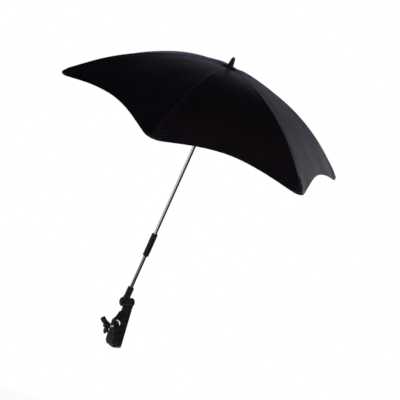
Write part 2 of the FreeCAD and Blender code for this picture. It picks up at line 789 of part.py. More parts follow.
def build_knuckle_hardware():
    """Bolt, end cap and turning knob on the hinge axis, and the bolt up the post that the base swivels on."""
    head_face = "barrel_end - bolt_head_height - 3.5 + seat_gap"
    head_end = head_face + " + bolt_head_height"
    bolt_end = "-arm_left - knob_length + 2"
    bolt = turned("knuckle_bolt", [(bolt_end, "0"), (bolt_end, "bolt_radius"), (head_face, "bolt_radius"),
                                   (head_face, "bolt_head_radius"), (head_end, "bolt_head_radius"),
                                   (head_end, "0")], axis="H_Axis")
    cap_face = "barrel_end + seat_gap"
    cap = turned("knuckle_cap", [("barrel_end - 2.8", "0"), ("barrel_end - 2.8", "bolt_head_radius + 0.5"),
                                 (cap_face, "bolt_head_radius + 0.5"), (cap_face, "knuckle_radius - 0.2"),
                                 (cap_face + " + 0.6", "knuckle_radius - 0.2", "1.9 * knuckle_radius", -1),
                                 (cap_face + " + cap_height", "0")], axis="H_Axis")
    near = "-arm_left - fit_gap"
    far = "-arm_left - fit_gap - knob_length"
    knob = turned("knuckle_knob", [(near, "bolt_radius + fit_gap"), (near, "knob_radius - 0.6"),
                                   (near + " - 0.8", "knob_radius"), (far + " + 2.2", "knob_radius", "2.2", 1),
                                   (far, "knob_radius - 2.2"), (far, "0"), (far + " + 1.6", "0"),
                                   (far + " + 1.6", "bolt_radius + fit_gap")], axis="H_Axis")
    flute = new_sketch(knob, "YZ_Plane", far + " - 1")
    circle(flute, "0", "knob_radius + 0.6", "1.4")
    around(knob, pocket(knob, flute, "knob_length + 2", back=True), 10)
    thread_end = "-knuckle_drop + swivel_thread_length"
    shoulder = thread_end + " - swivel_bolt_length"
    foot = shoulder + " - bolt_head_height"
    swivel = turned("swivel_bolt", [("0", foot), ("bolt_head_radius", foot), ("bolt_head_radius", shoulder),
                                    ("bolt_radius", shoulder), ("bolt_radius", thread_end), ("0", thread_end)])
    for body in (bolt, cap, knob):
        on_pivot(body)
    on_pivot(swivel, "post_offset")
    return [bolt, cap, knob, swivel]


# Clamp

def build_clamp_body():
    """Round post with a nose above the throat and a shelf below it that carries the jaw's hinge."""
    body = new_body("clamp_body")
    post = new_sketch(body, "XY_Plane", "-body_bottom")
    circle(post, "post_offset", "0", "post_radius")
    pad(body, post, "body_bottom + body_top")
    shelf = new_sketch(body, "XY_Plane", "-body_bottom")
    box_outline(shelf, "-shelf_front", "post_offset", "-clamp_width / 2", "clamp_width / 2")
    pad(body, shelf, "body_bottom - throat_bottom")
    nose = new_sketch(body, "XZ_Plane")
    nose_top = "throat_top + nose_height"
    outline(nose, [("post_offset", "throat_top"), ("-nose_front", "throat_top"),
                   ("-nose_front", "throat_top + nose_lip"), ("post_offset - post_radius", nose_top),
                   ("post_offset", nose_top)])
    pad(body, nose, "nose_width", both=True)
    throat = new_sketch(body, "XZ_Plane")
    box_outline(throat, "-2 * jaw_front", "0", "-throat_bottom", "throat_top")
    pocket(body, throat, "2 * clamp_width", both=True)
    seat = new_sketch(body, "XZ_Plane")
    circle(seat, "0", "0", "seat_radius")
    pocket(body, seat, "2 * clamp_width", both=True)
    round_edges(body, lambda edge: edge.BoundBox.ZMax < 0.1 - value("body_bottom"), "0.7 * bottom_round")
    relief = new_sketch(body, "XZ_Plane")
    circle(relief, "-jaw_pin_front", "-jaw_pin_depth", "jaw_heel_radius + fit_gap")
    pocket(body, relief, "2 * clamp_width", both=True)
    bar = new_sketch(body, "XZ_Plane")
    outline(bar, [("0", "-jaw_pin_depth - hinge_tongue_radius"), ("0", "-jaw_pin_depth + hinge_tongue_radius"),
                  ("-jaw_pin_front", "-jaw_pin_depth + hinge_tongue_radius", "hinge_tongue_radius", 1),
                  ("-jaw_pin_front", "-jaw_pin_depth - hinge_tongue_radius")])
    pad(body, bar, "hinge_tongue_width", both=True)
    hole = new_sketch(body, "XZ_Plane")
    circle(hole, "-jaw_pin_front", "-jaw_pin_depth", "jaw_pin_radius + seat_gap")
    pocket(body, hole, "2 * clamp_width", both=True)
    shank = new_sketch(body, "XY_Plane", "body_top")
    circle(shank, "post_offset", "0", "bolt_radius + fit_gap")
    pocket(body, shank, "body_top")
    head = new_sketch(body, "XY_Plane", "body_top + swivel_thread_length - swivel_bolt_length + 2 * fit_gap")
    circle(head, "post_offset", "0", "bolt_head_radius + fit_gap")
    pocket(body, head, "body_top")
    round_bottom(body, "body_bottom")
    on_clamp(body)
    return body


def round_bottom(body, depth):
    """Round the bottom corners, as seen along the screw, of a piece that reaches down to a depth."""
    for side in (1, -1):
        corner = new_sketch(body, "YZ_Plane")
        edge = "%d * clamp_width / 2" % side
        outside = "%d * clamp_width" % side
        inner = "%d * (clamp_width / 2 - bottom_round)" % side
        start = "-(%s) + bottom_round" % depth
        outline(corner, [(edge, start, "bottom_round", -side), (inner, "-(%s)" % depth),
                         (inner, "-2 * body_bottom"), (outside, "-2 * body_bottom"), (outside, start)])
        pocket(body, corner, "8 * jaw_front", both=True)


def build_seat_rubber():
    """The rubber lining of the seat: a strip bent round the pram tube."""
    body = new_body("seat_rubber")
    sketch = new_sketch(body, "XY_Plane")
    box_outline(sketch, "tube_radius", "seat_radius - seat_gap", "-lining_width / 2", "lining_width / 2")
    revolve(body, sketch, "V_Axis", angle="160", both=True)
    on_clamp(body)
    return body


def build_jaw():
    """The hinged front jaw: heel on the pin, arm with the screw's boss, and a tip that meets the tongue."""
    body = new_body("front_jaw")
    heel_x = "-jaw_pin_front - jaw_heel_radius * cos(45)"
    heel_z = "-jaw_pin_depth - jaw_heel_radius * sin(45)"
    inside = "-shelf_front - fit_gap"
    heel_top = "-jaw_pin_depth + sqrt(jaw_heel_radius^2 - (jaw_pin_front - shelf_front - fit_gap)^2)"
    block = new_sketch(body, "XZ_Plane")
    outline(block, [("-jaw_front", "-throat_bottom - 3.5"), ("-jaw_front", "-jaw_pin_depth + 4"),
                    (heel_x, heel_z, "jaw_heel_radius", 1, True), (inside, heel_top),
                    (inside, "-throat_bottom - 2"), ("-jaw_inner", "-throat_bottom + 2"),
                    ("-jaw_front + 3", "-throat_bottom + 2")])
    pad(body, block, "clamp_width", both=True)
    arm = new_sketch(body, "XZ_Plane")
    outline(arm, [("-jaw_inner", "-throat_bottom"), ("-jaw_inner", "throat_top - 0.5"),
                  ("-jaw_inner - jaw_tip_thickness", "throat_top - 0.5"), ("-jaw_front", "0"),
                  ("-jaw_front", "-throat_bottom")])
    pad(body, arm, "jaw_arm_width", both=True)
    boss = new_sketch(body, "YZ_Plane", "-boss_front")
    circle(boss, "0", "0", "boss_radius")
    pad(body, boss, "boss_front - jaw_inner")
    thread = new_sketch(body, "YZ_Plane")
    circle(thread, "0", "0", "screw_radius + fit_gap")
    pocket(body, thread, "4 * boss_front", both=True)
    recess = new_sketch(body, "YZ_Plane", "-jaw_inner")
    hexagon(recess, "nut_across_flats / 2 + seat_gap")
    pocket(body, recess, "nut_thickness + seat_gap")
    slot = new_sketch(body, "XZ_Plane")
    reach = "(hinge_tongue_radius + 0.7)"
    front = "-jaw_pin_front - " + reach
    top = "-jaw_pin_depth + " + reach
    outline(slot, [("0", top), ("-jaw_pin_front", top, reach, 1), (front, "-jaw_pin_depth"),
                   (front, "-2 * jaw_pin_depth"), ("0", "-2 * jaw_pin_depth")])
    pocket(body, slot, "hinge_tongue_width + 2 * fit_gap", both=True)
    hole = new_sketch(body, "XZ_Plane")
    circle(hole, "-jaw_pin_front", "-jaw_pin_depth", "jaw_pin_radius + fit_gap")
    pocket(body, hole, "2 * clamp_width", both=True)
    round_bottom(body, "jaw_pin_depth + jaw_heel_radius")
    on_clamp(body)
    return body


def hexagon(sketch, half_flats):
    """A hexagon about the sketch's origin, with a flat up."""
    reach = "(%s) / cos(30)" % half_flats
    angles = [60 * number for number in range(6)]
    outline(sketch, [("%s * cos(%d)" % (reach, angle), "%s * sin(%d)" % (reach, angle)) for angle in angles])


def build_screw_nut():
    body = new_body("screw_nut")
    sketch = new_sketch(body, "YZ_Plane", "-jaw_inner - seat_gap / 2")
    hexagon(sketch, "nut_across_flats / 2")
    circle(sketch, "0", "0", "screw_radius + fit_gap")
    pad(body, sketch, "nut_thickness - seat_gap", back=True)
    on_clamp(body)
    return body


def build_jaw_pin():
    body = new_body("jaw_pin")
    sketch = new_sketch(body, "XZ_Plane")
    circle(sketch, "-jaw_pin_front", "-jaw_pin_depth", "jaw_pin_radius")
    pad(body, sketch, "clamp_width - 1.6", both=True)
    on_clamp(body)
    return body


def build_snap_tongue():
    """The springy tongue on the nose: its hook holds the jaw's tip shut, two ridges take the thumb."""
    body = new_body("snap_tongue")
    sketch = new_sketch(body, "XZ_Plane")
    hook = "-jaw_inner - jaw_tip_thickness - fit_gap"
    root = "post_offset - post_radius - seat_gap"
    outline(sketch, [(root, "throat_top + nose_height + seat_gap"),
                     ("-nose_front - seat_gap", "throat_top + nose_lip + seat_gap"),
                     (hook, "throat_top + 2.2"), (hook + " - 0.5", "throat_top - 2.4"),
                     (hook + " - 1.8", "throat_top - 2.4"), (hook + " - 2.2", "throat_top + 3.4"),
                     (hook + " + 0.4", "throat_top + 5.8"), (hook + " + 1.4", "throat_top + 4.9"),
                     (hook + " + 2.9", "throat_top + 6.7"), (hook + " + 3.9", "throat_top + 5.8"),
                     ("-nose_front - 1.5", "throat_top + nose_lip + 1.4 * tongue_thickness"),
                     (root, "throat_top + nose_height + 2.1 * tongue_thickness")])
    pad(body, sketch, "tongue_width", both=True)
    on_clamp(body)
    return body


def build_pad():
    """The pressure pad with its rubber face; the screw's tip turns in the socket at its back."""
    body = new_body("pressure_pad")
    disc = new_sketch(body, "YZ_Plane", "-pad_back")
    circle(disc, "0", "0", "pad_radius")
    pad(body, disc, "pad_thickness")
    socket = new_sketch(body, "YZ_Plane", "-pad_back")
    circle(socket, "0", "0", "screw_radius - 0.9 + fit_gap")
    pocket(body, socket, "pad_back - screw_tip + fit_gap", back=True)
    on_clamp(body)
    rubber = new_body("pad_rubber")
    face = new_sketch(rubber, "YZ_Plane", "-pad_front + seat_gap")
    circle(face, "0", "0", "pad_radius - 0.3")
    pad(rubber, face, "pad_rubber_thickness")
    on_clamp(rubber)
    return [body, rubber]


def build_wing_screw():
    """The clamp screw, and its knob with two wings swept back from the clamp."""
    far = "-hub_back - hub_length"
    neck = "screw_radius - 0.9"
    screw = turned("wing_screw", [("-screw_tip", "0"), ("-screw_tip", neck), ("-jaw_inner - 0.4", neck),
                                  ("-jaw_inner - 1.2", "screw_radius"), (far + " + 4", "screw_radius"),
                                  (far + " + 4", "0")], axis="H_Axis")
    on_clamp(screw)
    knob = turned("wing_knob", [("-hub_back", "screw_radius + seat_gap"), ("-hub_back", "hub_radius - 0.8"),
                                ("-hub_back - 1", "hub_radius"), (far + " + 3", "hub_radius", "3", 1),
                                (far, "hub_radius - 3"), (far, "0"), (far + " + 4 - seat_gap", "0"),
                                (far + " + 4 - seat_gap", "screw_radius + seat_gap")], axis="H_Axis")
    for side in (1, -1):
        root = "%d * (hub_radius - 1.5)" % side
        reach = "%d * (wing_span / 2 - wing_tip_radius)" % side
        wing = new_sketch(knob, "XZ_Plane")
        outline(wing, [(far + " + 2", root), ("-hub_back - 1", root, "wing_span * 0.4", -side),
                       (far + " + wing_tip_radius", reach, "1.1 * wing_tip_radius", side),
                       (far + " - wing_tip_radius", reach, "wing_span * 0.4", side)])
        pad(knob, wing, "wing_thickness", both=True)
    on_clamp(knob, "wing_turn")
    return [screw, knob]


# Build, check and write

nodes = []
build_gores()
for rib_number in range(1, RIB_COUNT + 1):
    nodes += [build_rib(rib_number), build_rivet(rib_number)]
    nodes += [build_tip(rib_number), build_stretcher(rib_number)]
nodes += [build_crown(), build_crown_wire(), build_washer(), build_ferrule()]
nodes += [build_upper_tube(), build_lower_tube(), build_sleeve(), build_runner(), build_catch()]
nodes += build_bend_joint()
nodes += [build_arm(), build_swivel_base()]
nodes += build_knuckle_hardware()
nodes += [build_clamp_body(), build_seat_rubber(), build_snap_tongue()]
nodes += [build_jaw(), build_screw_nut(), build_jaw_pin()]
nodes += build_pad()
nodes += build_wing_screw()
doc.recompute()

for thing in doc.Objects:
    if "Invalid" in thing.State or "Error" in thing.State:
        raise RuntimeError("%s did not build: %s" % (thing.Label, thing.State))
os.makedirs("parts", exist_ok=True)
for node in nodes:
    if node.Shape.isNull() or not node.Shape.isValid():
        raise RuntimeError("%s has no valid shape" % node.Label)
    if len(node.Shape.Solids) != 1:
        raise RuntimeError("%s has %d solids" % (node.Label, len(node.Shape.Solids)))
    node.Shape.exportStep("parts/%s.step" % node.Label)
print("%d nodes written" % len(nodes))
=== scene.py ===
import json
import math

import bpy
from mathutils import Matrix, Vector


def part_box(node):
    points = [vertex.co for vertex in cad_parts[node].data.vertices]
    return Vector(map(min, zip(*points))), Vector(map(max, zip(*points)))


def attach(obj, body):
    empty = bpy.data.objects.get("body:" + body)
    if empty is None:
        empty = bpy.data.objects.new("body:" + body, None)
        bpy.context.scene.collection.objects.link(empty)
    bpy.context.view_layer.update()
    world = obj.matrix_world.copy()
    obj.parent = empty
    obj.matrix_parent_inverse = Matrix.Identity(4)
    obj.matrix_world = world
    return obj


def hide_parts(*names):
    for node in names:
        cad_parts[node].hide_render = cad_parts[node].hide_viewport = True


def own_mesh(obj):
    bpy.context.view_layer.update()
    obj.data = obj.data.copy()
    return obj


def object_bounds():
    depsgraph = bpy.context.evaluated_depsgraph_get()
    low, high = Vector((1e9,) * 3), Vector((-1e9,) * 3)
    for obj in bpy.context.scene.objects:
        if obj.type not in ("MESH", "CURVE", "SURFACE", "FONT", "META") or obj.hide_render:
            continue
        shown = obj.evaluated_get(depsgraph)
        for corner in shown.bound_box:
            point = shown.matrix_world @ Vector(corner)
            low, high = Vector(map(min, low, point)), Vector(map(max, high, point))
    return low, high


# Looks of the pram parasol, in metres and radians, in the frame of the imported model.

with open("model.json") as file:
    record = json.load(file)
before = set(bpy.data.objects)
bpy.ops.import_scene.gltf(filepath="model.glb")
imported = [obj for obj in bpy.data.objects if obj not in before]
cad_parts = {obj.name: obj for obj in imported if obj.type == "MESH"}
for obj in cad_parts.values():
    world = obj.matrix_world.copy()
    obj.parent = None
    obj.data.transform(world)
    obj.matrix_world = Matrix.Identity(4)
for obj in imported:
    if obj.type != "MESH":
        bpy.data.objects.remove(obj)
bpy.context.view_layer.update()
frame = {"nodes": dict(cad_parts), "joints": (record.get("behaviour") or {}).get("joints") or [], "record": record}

# Canopy sizes, the same as in the part's source
RIB_COUNT = 6
FIRST_RIB_ANGLE = math.radians(-90)
RIB_LENGTH = 0.377
TOP_SLOPE = math.radians(1.4)
TIP_SLOPE = math.radians(45.5)
RIB_START = 0.010
PANEL_BULGE = 0.004

# The hem as it is seen: a round lobe past each rib's tip, and an arch from lobe to lobe
HEM_RISE = 0.0245
TIP_LOBE = 0.0092
LOBE_ROUND = 0.09
TURN_START = 0.002
TURN_RADIUS = 0.006

# Cloth over the ribs. Each pair is where a change starts and where it ends.
CLOTH_THICKNESS = 0.0005
CREASE_ROUND = 0.002
CREASE_ROUND_AT_TIP = 0.011
CREASE_ROUND_LIMIT = 0.125
CREASE_WEIGHTS = {-2: 1, -1: 4, 0: 6, 1: 4, 2: 1}
TIP_ZONE = (0.004, 0.060)
POCKET_HEIGHT = 0.0042
POCKET_WIDTH = 0.020

# Swell of the cloth between the ribs, which is slackest towards one angle
SWELL_HEIGHT = 0.0029
SWELL_SLACK = 0.0019
SLACK_ANGLE = math.radians(60)
SWELL_RISE = (0.008, 0.060)
SWELL_FALL = (0.12, 0.32)
SWELL_FALL_SHARE = 0.6

# Folds: rays from the tip's pocket, gathers at the crown, puckers at the seam and a slow wave
RAY_DEPTH = 0.0014
RAY_NUMBER = 16
RAY_SHIFT = 1.7
RAY_MOUTH = 0.004
RAY_START = (0.002, 0.014)
RAY_REACH = 0.034
RAY_FREE_OF_SEAM = (0.0015, 0.004)
CROWN_FOLD_DEPTH = 0.0012
CROWN_FOLD_REACH = 0.020
CROWN_FOLD_NUMBER = 5
PUCKER_DEPTH = 0.00018
PUCKER_PITCH = 0.016
PUCKER_REACH = 0.010
WAVE_DEPTH = 0.0007
WAVES_ACROSS = 2.2
WAVES_ALONG = 3
WAVE_SHIFT = 0.9
FOLD_FREE_OF_SEAM = 0.012
FOLD_FADE = (0.75, 1)

# Sewing
SEAM_HALF_WIDTH = 0.0032
SEAM_RAISE = 0.0005
SEAM_EDGE = (0.85, 1.15)
SEAM_FULL_CHORD = 0.02
SEAM_STITCH_ROW = 0.0024
SEAM_STITCH_START = 0.05
SEAM_STITCH_RUN = 0.94
HEM_WIDTH = 0.008
HEM_STITCH_ROW = 0.0062
HEM_STITCH_LIFT = 0.00015
STITCH_LENGTH = 0.0030
STITCH_PITCH = 0.0038
STITCH_LIFTS = (-0.6, 0.5, 0.9, 0.5, -0.6)
THREAD_RADIUS = 0.00022
TIE_PLACES = (0.3, 0.72)
TIE_TURNS = 3
TIE_PITCH = 0.0009
TIE_HALF_WIDTH = 0.0019
TIE_HALF_DEPTH = 0.0024
TIE_START = 0.0007
TIE_RAISE = 0.0001

# Mesh fineness
CLOTH_ROWS = 132
ROW_CROWDING = 0.11
SEAM_COLUMNS = (0.0009, 0.0018, 0.0025, 0.0031, 0.0036, 0.0044)
PANEL_COLUMNS = 46
COLUMN_CROWDING = 1.4
HEM_COLUMNS = 72
STITCH_STEPS = 1200
STITCH_SIDES = 5
TIE_STEPS = 16
TUBE_PINCH = 0.35
NORMAL_STEP = 0.004

# Where the parasol stands, read from the frame
washer_low, washer_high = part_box("top_washer")
SHAFT_AXIS = Vector(((washer_low.x + washer_high.x) / 2, (washer_low.y + washer_high.y) / 2, 0))
CROWN_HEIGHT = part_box("canopy_gore_1")[1].z
JOINTS = {joint["name"]: joint for joint in frame["joints"]}

HALF_PANEL = math.pi / RIB_COUNT
ARC_RADIUS = RIB_LENGTH / (TIP_SLOPE - TOP_SLOPE)
ARC_OUT = RIB_START - ARC_RADIUS * math.sin(TOP_SLOPE)
ARC_UP = -ARC_RADIUS * math.cos(TOP_SLOPE)


# Meshes

def smooth_step(value, low, high):
    share = min(max((value - low) / (high - low), 0), 1)
    return share * share * (3 - 2 * share)


def mesh_piece(name, points, faces, material, uv=None):
    """A smooth mesh object. uv is one pair for each point."""
    mesh = bpy.data.meshes.new(name)
    mesh.from_pydata(points, [], faces)
    mesh.polygons.foreach_set("use_smooth", [True] * len(mesh.polygons))
    if uv:
        layer = mesh.uv_layers.new(name="cloth")
        for loop in mesh.loops:
            layer.data[loop.index].uv = uv[loop.vertex_index]
    mesh.materials.append(material)
    piece = bpy.data.objects.new(name, mesh)
    bpy.context.scene.collection.objects.link(piece)
    return piece


def grid_faces(rows, columns, closed_columns=False):
    """Quads over a grid of points stored row by row."""
    faces = []
    for row in range(rows - 1):
        for column in range(columns if closed_columns else columns - 1):
            here = row * columns
            below = here + columns
            next_column = (column + 1) % columns
            faces.append((here + column, here + next_column, below + next_column, below + column))
    return faces


def tube_mesh(paths, radius, sides=6):
    """Points and faces of round tubes with pinched ends, one along each path of points."""
    points, faces = [], []
    for path in paths:
        first = len(points)
        last = len(path) - 1
        for number, centre in enumerate(path):
            before = path[max(number - 1, 0)]
            after = path[min(number + 1, last)]
            turn = (after - before).to_track_quat("Z", "X").to_matrix()
            width = radius * (TUBE_PINCH if number in (0, last) else 1)
            for side in range(sides):
                angle = 2 * math.pi * side / sides
                points.append(centre + turn @ Vector((width * math.cos(angle), width * math.sin(angle), 0)))
        for face in grid_faces(len(path), sides, closed_columns=True):
            faces.append([first + corner for corner in face])
        faces.append([first + side for side in reversed(range(sides))])
        faces.append([first + last * sides + side for side in range(sides)])
    return points, faces


# Cloth shape, in a rib's own frame: X out along the rib, Y across it, Z up the shaft from the crown

def rib_angle(number):
    return FIRST_RIB_ANGLE + (number - 1) * 2 * HALF_PANEL


def rib_arc(share):
    """Distance from the shaft's axis and height, at a share of the rib's length."""
    slope = TOP_SLOPE + share * (TIP_SLOPE - TOP_SLOPE)
    return ARC_OUT + ARC_RADIUS * math.sin(slope), ARC_UP + ARC_RADIUS * math.cos(slope)


def half_chord(share):
    return rib_arc(share)[0] * math.sin(HALF_PANEL)


def hem_share(offset):
    """Where the hem lies, as a share of the rib's length."""
    reach = (math.hypot(offset, LOBE_ROUND) - LOBE_ROUND) / (math.hypot(1, LOBE_ROUND) - LOBE_ROUND)
    arch = math.sin(math.pi / 2 * min(reach, 1))
    return 1 + (TIP_LOBE - (TIP_LOBE + HEM_RISE) * arch) / RIB_LENGTH


def tip_share(share):
    """1 at the rib's tip, falling to 0 where the cloth's crease is sharp again."""
    return 1 - smooth_step((1 - share) * RIB_LENGTH, *TIP_ZONE)


def taut_point(share, offset):
    """The cloth stretched between two ribs. Offset 0 is the rib, -1 and 1 are the panels' middles."""
    radius, height = rib_arc(share)
    along = 1 - abs(offset)
    half = radius * math.sin(HALF_PANEL)
    outward = radius * math.cos(HALF_PANEL) + PANEL_BULGE * share * (1 - along ** 2)
    x = outward * math.cos(HALF_PANEL) + along * half * math.sin(HALF_PANEL)
    y = outward * math.sin(HALF_PANEL) - along * half * math.cos(HALF_PANEL)
    return Vector((x, math.copysign(y, offset), height))


def cloth_point(share, offset):
    """The same cloth with the crease over the rib rounded, most of all near the tip."""
    soften = (CREASE_ROUND + CREASE_ROUND_AT_TIP * tip_share(share)) / half_chord(share)
    soften = min(soften, CREASE_ROUND_LIMIT)
    whole = sum(CREASE_WEIGHTS.values())
    around = Vector((0, 0, 0))
    for step, weight in CREASE_WEIGHTS.items():
        around += taut_point(share, offset + step * soften) * weight / whole
    return around


def cloth_normal(share, offset):
    down = cloth_point(share + NORMAL_STEP, offset) - cloth_point(max(share - NORMAL_STEP, 0), offset)
    across = cloth_point(share, offset + NORMAL_STEP) - cloth_point(share, offset - NORMAL_STEP)
    return down.cross(across).normalized()


def seam_lift(share, offset):
    """The felled seam stands proud over the rib."""
    width = SEAM_HALF_WIDTH * min(1, half_chord(share) / SEAM_FULL_CHORD)
    inner, outer = SEAM_EDGE
    return SEAM_RAISE * (1 - smooth_step(abs(offset) * half_chord(share), width * inner, width * outer))


def pocket_lift(share, offset):
    """The soft pocket in which the rib's cap is held."""
    distance = abs(offset) * half_chord(share)
    return POCKET_HEIGHT * tip_share(share) * math.exp(-(distance / POCKET_WIDTH) ** 2)


def turn_down(share):
    """How far the lobe's cloth lies from a straight run, because it turns down past the rib's tip."""
    past = max((share - 1) * RIB_LENGTH - TURN_START, 0)
    slope = TIP_SLOPE + past / TURN_RADIUS
    outward = TURN_RADIUS * (math.sin(slope) - math.sin(TIP_SLOPE)) - past * math.cos(TIP_SLOPE)
    upward = TURN_RADIUS * (math.cos(slope) - math.cos(TIP_SLOPE)) + past * math.sin(TIP_SLOPE)
    return Vector((outward, 0, upward))


def panel_swell(share, offset, number):
    """The cloth between the ribs stands a little higher than the ribs, most of all nearer the crown."""
    from_crown = share * RIB_LENGTH
    middle_angle = rib_angle(number) + math.copysign(HALF_PANEL, offset)
    height = SWELL_HEIGHT + SWELL_SLACK * math.cos(middle_angle - SLACK_ANGLE)
    fall = 1 - SWELL_FALL_SHARE * smooth_step(from_crown, *SWELL_FALL)
    height *= smooth_step(from_crown, *SWELL_RISE) * fall
    along = 1 - min(abs(offset), 1)
    return height * (1 - along ** 2)


def rays(share, offset, number):
    """Folds that run out like rays from the mouth of the pocket at the rib's tip."""
    across = offset * half_chord(share)
    from_mouth = (1 - share) * RIB_LENGTH + RAY_MOUTH
    reach = math.hypot(across, from_mouth)
    angle = math.atan2(across, from_mouth)
    swell = smooth_step(reach, *RAY_START) * math.exp(-(reach / RAY_REACH) ** 2)
    fan = math.cos(RAY_NUMBER * angle + RAY_SHIFT * math.sin(number)) * math.exp(-angle ** 2)
    return RAY_DEPTH * swell * fan


def wrinkle(share, offset, number):
    """All the small folds together. They leave the seam and the panel's middle smooth."""
    distance = abs(offset) * half_chord(share)
    from_crown = share * RIB_LENGTH
    fade = 1 - smooth_step(abs(offset), *FOLD_FADE)
    beside_seam = smooth_step(distance, SEAM_HALF_WIDTH, FOLD_FREE_OF_SEAM)
    crown = math.cos(CROWN_FOLD_NUMBER * math.pi * offset + number)
    crown *= CROWN_FOLD_DEPTH * math.exp(-from_crown / CROWN_FOLD_REACH)
    pucker = math.sin(2 * math.pi * from_crown / PUCKER_PITCH + number)
    pucker *= PUCKER_DEPTH * math.exp(-distance / PUCKER_REACH)
    wave = math.sin(WAVES_ACROSS * math.pi * offset + WAVE_SHIFT * number)
    wave *= WAVE_DEPTH * share * math.sin(WAVES_ALONG * math.pi * share + number)
    fan = rays(share, offset, number) * smooth_step(distance, *RAY_FREE_OF_SEAM)
    return fade * (beside_seam * (crown + pucker + wave) + fan)


def cloth_surface(share, offset, number, lift=0.0):
    """A point of the cloth's outer face, or lift above it."""
    raised = seam_lift(share, offset) + pocket_lift(share, offset) + panel_swell(share, offset, number)
    raised += wrinkle(share, offset, number) + lift
    return cloth_point(share, offset) + cloth_normal(share, offset) * raised + turn_down(share)


def rib_frame(number):
    """From a rib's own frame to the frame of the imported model."""
    place = Matrix.Translation(SHAFT_AXIS + Vector((0, 0, CROWN_HEIGHT)))
    return place @ Matrix.Rotation(rib_angle(number), 4, "Z")


def on_rib(piece, number):
    """The piece rides on its rib, with a mesh of its own."""
    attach(piece, "rib_%d" % number)
    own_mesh(piece)
    return piece


# Canopy pieces

def column_offsets(share):
    """Columns close together at the seam, and wider apart over the rest of the half panel."""
    half = half_chord(share)
    side = [distance * min(1, half / SEAM_FULL_CHORD) / half for distance in SEAM_COLUMNS]
    start = side[-1]
    for column in range(1, PANEL_COLUMNS + 1):
        side.append(start + (1 - start) * (column / PANEL_COLUMNS) ** COLUMN_CROWDING)
    return [-offset for offset in reversed(side)] + [0.0] + side


def build_gore(number, material):
    """One cloth gore, with its rows closer together at the crown and at the hem."""
    place = rib_frame(number)
    points, uv = [], []
    for row in range(CLOTH_ROWS + 1):
        even = row / CLOTH_ROWS
        row_share = even - ROW_CROWDING * math.sin(2 * math.pi * even)
        for offset in column_offsets(row_share):
            share = row_share * hem_share(offset)
            points.append(place @ cloth_surface(share, offset, number))
            uv.append((offset * half_chord(share), share * RIB_LENGTH))
    columns = len(column_offsets(0))
    gore = mesh_piece("cloth_gore_%d" % number, points, grid_faces(CLOTH_ROWS + 1, columns), material, uv)
    solid = gore.modifiers.new("thickness", "SOLIDIFY")
    solid.thickness = CLOTH_THICKNESS
    solid.offset = -1
    solid.use_rim = False
    return gore


def hem_section():
    """The folded hem, as (distance in from the edge, height over the cloth's face)."""
    inside = -CLOTH_THICKNESS
    return ((-0.0004, inside / 2), (0.0004, 0.00008), (HEM_WIDTH, 0.00006), (HEM_WIDTH + 0.0003, inside / 2),
            (HEM_WIDTH, inside - 0.0004), (0.0006, inside - 0.0005))


def build_hem(number, material):
    place = rib_frame(number)
    section = hem_section()
    points, uv = [], []
    for column in range(-HEM_COLUMNS, HEM_COLUMNS + 1):
        offset = column / HEM_COLUMNS
        edge = hem_share(offset)
        for inward, lift in section:
            share = edge - inward / RIB_LENGTH
            points.append(place @ cloth_surface(share, offset, number, lift))
            uv.append((offset * half_chord(share), share * RIB_LENGTH))
    faces = grid_faces(2 * HEM_COLUMNS + 1, len(section), closed_columns=True)
    return mesh_piece("hem_%d" % number, points, faces, material, uv)


def stitch_paths(rail):
    """Short raised threads along a line of (point, normal) pairs."""
    paths = []
    travelled = 0.0
    start = 0
    parts = len(STITCH_LIFTS) - 1
    for number in range(1, len(rail)):
        travelled += (rail[number][0] - rail[number - 1][0]).length
        if travelled >= STITCH_PITCH:
            first, normal = rail[start]
            along = (rail[number][0] - first).normalized() * STITCH_LENGTH
            path = []
            for step, lift in enumerate(STITCH_LIFTS):
                path.append(first + along * step / parts + normal * lift * THREAD_RADIUS)
            paths.append(path)
            travelled = 0.0
            start = number
    return paths


def build_stitches(number, material):
    """Two rows of stitches along the seam and one round the hem."""
    place = rib_frame(number)
    turn = place.to_3x3()
    paths = []
    for side in (-1, 1):
        rail = []
        for step in range(STITCH_STEPS):
            share = SEAM_STITCH_START + SEAM_STITCH_RUN * step / STITCH_STEPS
            offset = side * SEAM_STITCH_ROW / half_chord(share)
            rail.append((place @ cloth_surface(share, offset, number), turn @ cloth_normal(share, offset)))
        paths += stitch_paths(rail)
    rail = []
    for step in range(STITCH_STEPS):
        offset = -1 + 2 * step / (STITCH_STEPS - 1)
        share = hem_share(offset) - HEM_STITCH_ROW / RIB_LENGTH
        point = cloth_surface(share, offset, number, HEM_STITCH_LIFT)
        rail.append((place @ point, turn @ cloth_normal(share, offset)))
    paths += stitch_paths(rail)
    return mesh_piece("stitches_%d" % number, *tube_mesh(paths, THREAD_RADIUS, STITCH_SIDES), material)


def build_rib_ties(number, material):
    """Thread wound round the rib where the seam is tied to it."""
    place = rib_frame(number)
    loops = []
    for share in TIE_PLACES:
        for turn in range(TIE_TURNS):
            here = share + turn * TIE_PITCH / RIB_LENGTH
            up = cloth_normal(here, 0)
            top = cloth_point(here, 0) - up * TIE_START
            along = Vector((0, 1, 0)).cross(up)
            loop = []
            for step in range(TIE_STEPS + 1):
                angle = 2 * math.pi * step / TIE_STEPS
                sideways = Vector((0, TIE_HALF_WIDTH * math.cos(angle), 0))
                down = TIE_HALF_DEPTH * (1 - math.sin(angle)) - TIE_RAISE
                loop.append(place @ (top + sideways - up * down + along * TIE_PITCH * step / TIE_STEPS))
            loops.append(loop)
    return mesh_piece("rib_ties_%d" % number, *tube_mesh(loops, THREAD_RADIUS), material)


